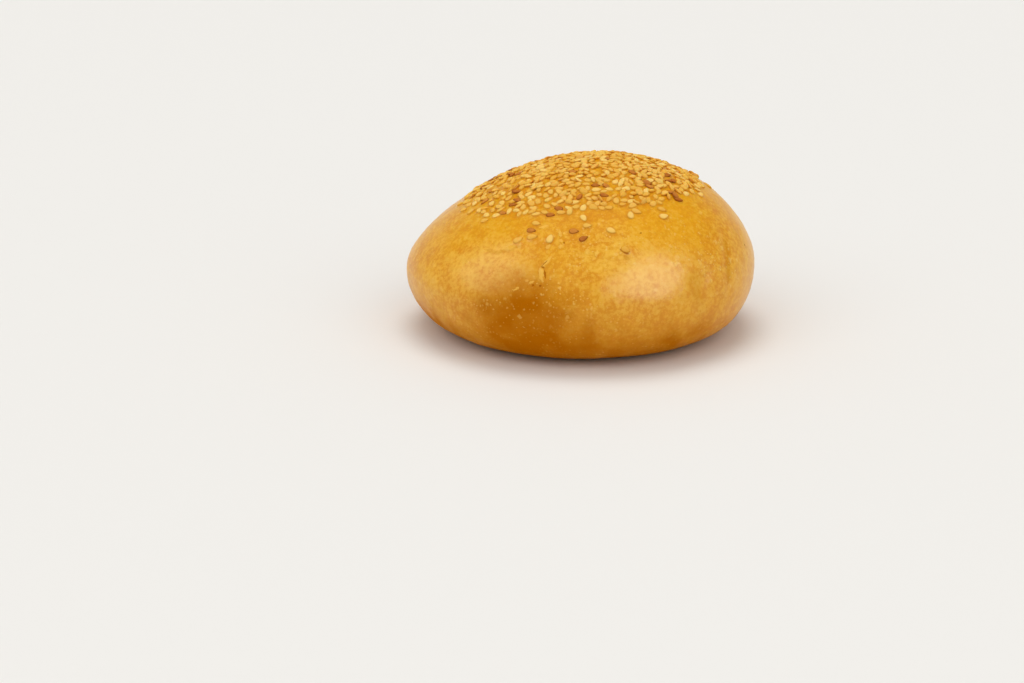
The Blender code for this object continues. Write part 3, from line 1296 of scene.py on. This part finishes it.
    def build(self, topping: SeedTopping) -> None:
        """Makes the crust, its relief and the values that its finish reads.

        Args:
            topping: the seeds, round which the crust is browned and darkened with painted shade.
        """
        piece = self.grid()
        mesh = piece.data
        places = read_vectors(mesh, "co")
        normals = read_vectors(mesh, "normal")
        relief = sum(depth * lumps(places, size) for size, depth in self.lump_sizes)
        under = np.clip((self.underside_height - places[:, 2]) / self.underside_fade, 0, 1)
        relief = relief + self.underside_relief * np.abs(lumps(places, self.underside_lump)) * under
        bubbles = self.blisters(places) * (1 - under)
        relief += self.blister_height * bubbles
        pale = np.zeros(len(places))
        # Darker towards the bottom: partly a browner baked base, partly painted shade.
        brown = self.base_browning_and_shade * np.clip((self.brown_height - places[:, 2]) / self.brown_height, 0, 1)
        for crease in self.creases:
            gap, share = self.distance_to(places, crease.run)
            fade = np.sin(np.pi * np.clip(share, 0.02, 0.98)) ** 0.5
            line = np.exp(-((gap / crease.width) ** 2)) * fade
            lips = np.exp(-(((gap - self.lip_offset * crease.width) / crease.width) ** 2)) * fade
            relief += crease.depth * (self.lip_height * lips - line)
            pale += crease.paleness * lips
            # The groove is darkened: partly glaze pooled in it, partly painted shade.
            brown += crease.browning_and_shade * line
        # Paler patches, some of them painted highlight on the rises.
        for place in self.pale_places:
            pale += place.strength * self.nearness(places, place)
        # Darker patches: painted shade low on the front and in the hollow by the right rise, with some
        # browner spots.
        for place in self.brown_places:
            brown = np.maximum(brown, place.strength * self.nearness(places, place))
        speckled = np.full(len(places), self.speckling)
        for place in self.speckled_places:
            speckled = np.maximum(speckled, place.strength * self.nearness(places, place))
        near_seeds = self.near_seeds(places, topping)
        relief += self.glaze_depth * near_seeds
        places += normals * relief[:, None]
        places[:, 2] = np.maximum(places[:, 2], 0)
        mesh.vertices.foreach_set("co", places.ravel())
        mesh.shade_smooth()
        mesh.update()
        mottled = 0.8 + 0.4 * lumps(places, self.mottle_lump)
        keep_values(piece, "paleness", np.clip(pale * mottled + self.blister_paleness * bubbles, 0, 1))
        # Darkening: browned crust together with painted shade.
        keep_values(piece, "browning_and_shade", np.clip(brown, 0, 0.95) * np.clip(mottled, 0.8, 1.05))
        keep_values(piece, "speckling", speckled)
        # Darkening round the seeds: browned glaze and painted shade.
        keep_values(piece, "glazing_and_shade", self.glaze_and_shade_share * near_seeds)
        keep_values(piece, "underside", under)
        finish = CrustFinish(self.form, self.flaps, self.slits, self.folds)
        finish_piece(piece, finish.material())
        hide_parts("bun")

    def nearness(self, places: np.ndarray, spot: TintPlace) -> np.ndarray:
        """How close each place is to the middle of a baked patch.

        Args:
            places: points on the bread.
            spot: the patch.

        Returns:
            A value from 0 to 1 for each place.
        """
        bearing = math.radians(spot.bearing)
        latitude = math.radians(spot.latitude)
        axes = np.array(self.form.seat(bearing, latitude))
        away = (places - np.array(self.form.point(bearing, latitude))) @ axes
        shares = away / (spot.across, spot.up, self.patch_thickness)
        return np.exp(-(shares**2).sum(axis=1))


def lumps(places: np.ndarray, size: float) -> np.ndarray:
    """Smooth noise from -1 to 1 at each place, with lumps about size across."""
    return np.array([noise.noise(Vector(place)) for place in places / size])


def read_vectors(mesh: bpy.types.Mesh, name: str) -> np.ndarray:
    """Positions or normals of a mesh's points.

    Args:
        mesh: the mesh.
        name: what is read, "co" or "normal".

    Returns:
        One vector for each point.
    """
    values = np.empty(len(mesh.vertices) * 3)
    mesh.vertices.foreach_get(name, values)
    return values.reshape(-1, 3)


def mesh_piece(name: str, points: np.ndarray, faces: list) -> bpy.types.Object:
    """Makes a smooth piece and links it to the scene.

    Args:
        name: the piece's name.
        points: its points in the frame.
        faces: each face's points, by number.

    Returns:
        The piece.
    """
    mesh = bpy.data.meshes.new(name)
    mesh.from_pydata(points, [], faces)
    mesh.shade_smooth()
    mesh.update()
    piece = bpy.data.objects.new(name, mesh)
    bpy.context.scene.collection.objects.link(piece)
    return piece


def keep_values(piece: bpy.types.Object, name: str, values: np.ndarray) -> None:
    """Keeps one number on each of a piece's points for its material to read."""
    kept = piece.data.attributes.new(name, "FLOAT", "POINT")
    kept.data.foreach_set("value", np.asarray(values, np.float32))


def finish_piece(piece: bpy.types.Object, material: bpy.types.Material) -> None:
    """Gives a piece its material, its body and its slot, and reports it.

    Args:
        piece: the piece.
        material: its material.
    """
    piece.data.materials.append(material)
    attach(piece, BODY)
    LOG.info("%s: %d faces", piece.name, len(piece.data.polygons))


class LightRole(Enum):
    """What a studio light is there for."""

    FILL = "even light without a reflection"
    GLOSS = "only its soft reflection in the glaze"


@dataclass(frozen=True)
class SoftLight:
    """A broad studio light: where it stands and how wide it looks, in degrees, and its strength."""

    name: str
    role: LightRole
    bearing: float
    height: float
    spread: float
    energy: float

    def direction(self) -> Vector:
        """Direction from the bun to the light.

        Returns:
            A vector of length 1.
        """
        bearing = math.radians(self.bearing)
        height = math.radians(self.height)
        level = math.cos(height)
        return Vector((math.cos(bearing) * level, math.sin(bearing) * level, math.sin(height)))


@dataclass
class Studio:
    """Pale table, soft light and the camera at the photograph's angle."""

    form: BunForm
    camera_pitch: float = 18.5
    camera_distance: float = 1.0
    lens: float = 111.5
    sensor: float = 36.0
    picture_width: int = 1024
    picture_height: int = 683
    axis_column: float = 581.4
    axis_row: float = 262.7
    floor_reach: float = 30.0
    floor_parts: int = 8
    lights: tuple = (
        SoftLight("fill_top", LightRole.FILL, bearing=100.0, height=77.0, spread=36.0, energy=1.02),
        SoftLight("fill_right", LightRole.FILL, bearing=-50.0, height=38.0, spread=50.0, energy=0.40),
        SoftLight("fill_left", LightRole.FILL, bearing=-140.0, height=45.0, spread=50.0, energy=0.52),
        SoftLight("gloss_right", LightRole.GLOSS, bearing=-44.0, height=33.0, spread=60.0, energy=2.80),
        SoftLight("gloss_left", LightRole.GLOSS, bearing=-165.0, height=40.0, spread=50.0, energy=1.00),
    )
    room: Colour = (1.0, 0.992, 0.975)
    room_strength: float = 0.56
    wall_shine: float = 0.54
    ceiling_shine: float = 0.05
    surround: float = 0.90

    def build(self) -> None:
        """Makes the floor, the lights and the camera."""
        self.floor()
        for soft in self.lights:
            self.light(soft)
        self.room_light()
        self.camera()
        bpy.context.scene.view_settings.view_transform = "Standard"

    def floor(self) -> None:
        """Table top that runs out of the picture on every side."""
        form = bmesh.new()
        parts = self.floor_parts
        bmesh.ops.create_grid(form, x_segments=parts, y_segments=parts, size=self.floor_reach)
        mesh = bpy.data.meshes.new("table_top")
        form.to_mesh(mesh)
        form.free()
        mesh.materials.append(FloorFinish().material())
        floor = bpy.data.objects.new("table_top", mesh)
        bpy.context.scene.collection.objects.link(floor)

    def light(self, soft: SoftLight) -> None:
        """Adds one broad light, far away, so that it falls evenly on the whole table.

        Args:
            soft: the light's place, width and strength.
        """
        lamp = bpy.data.lights.new(soft.name, "SUN")
        lamp.energy = soft.energy
        lamp.angle = math.radians(soft.spread)
        light = bpy.data.objects.new(soft.name, lamp)
        light.rotation_euler = soft.direction().to_track_quat("Z", "Y").to_euler()
        light.visible_glossy = soft.role is LightRole.GLOSS
        light.visible_diffuse = soft.role is LightRole.FILL
        bpy.context.scene.collection.objects.link(light)

    def room_light(self) -> None:
        """Even light from all round, whose reflection is bright at the walls and dark at the ceiling."""
        world = bpy.data.worlds.new("studio")
        bpy.context.scene.world = world
        paint = Paint(world)
        direction = Shade(paint, paint.node("ShaderNodeTexCoord").outputs["Generated"])
        up = Shade(paint, paint.node("ShaderNodeSeparateXYZ", sockets={0: direction}).outputs["Z"])
        rays = paint.node("ShaderNodeLightPath")
        shine = up.rise(0.10, 0.60) * (self.ceiling_shine - self.wall_shine) + self.wall_shine
        seen = Shade(paint, rays.outputs["Is Camera Ray"])
        mirrored = Shade(paint, rays.outputs["Is Glossy Ray"])
        strength = mirrored * (shine - self.room_strength) + seen * (self.surround - self.room_strength)
        sockets = {"Color": self.room, "Strength": strength + self.room_strength}
        soft = paint.node("ShaderNodeBackground", sockets=sockets)
        paint.node("ShaderNodeOutputWorld", sockets={"Surface": Shade(paint, soft.outputs[0])})

    def camera(self) -> None:
        """Camera that sees the bun where and as large as the photograph shows it."""
        pitch = math.radians(self.camera_pitch)
        focal = self.lens / self.sensor * self.picture_width
        across = (self.axis_column - self.picture_width / 2) / focal
        down = (self.axis_row - self.picture_height / 2) / focal
        forward = Vector((0, math.cos(pitch), -math.sin(pitch)))
        upward = Vector((0, math.sin(pitch), math.cos(pitch)))
        ray = (forward + Vector((across, 0, 0)) - upward * down).normalized()
        axis = Vector((0, 0, self.form.belly_height)) - Vector(self.form.middle())
        lens = bpy.data.cameras.new("camera")
        lens.lens = self.lens
        lens.sensor_width = self.sensor
        camera = bpy.data.objects.new("camera", lens)
        camera.location = axis - ray * self.camera_distance
        camera.rotation_euler = (math.pi / 2 - pitch, 0, 0)
        bpy.context.scene.collection.objects.link(camera)
        bpy.context.scene.camera = camera


def main() -> None:
    """Builds the bun and its studio."""
    logging.basicConfig(level=logging.INFO, format="%(message)s")
    form = BunForm()
    topping = SeedTopping(form)
    topping.build()
    Crust(form).build(topping)
    Studio(form).build()


if __name__ == "__main__":
    main()
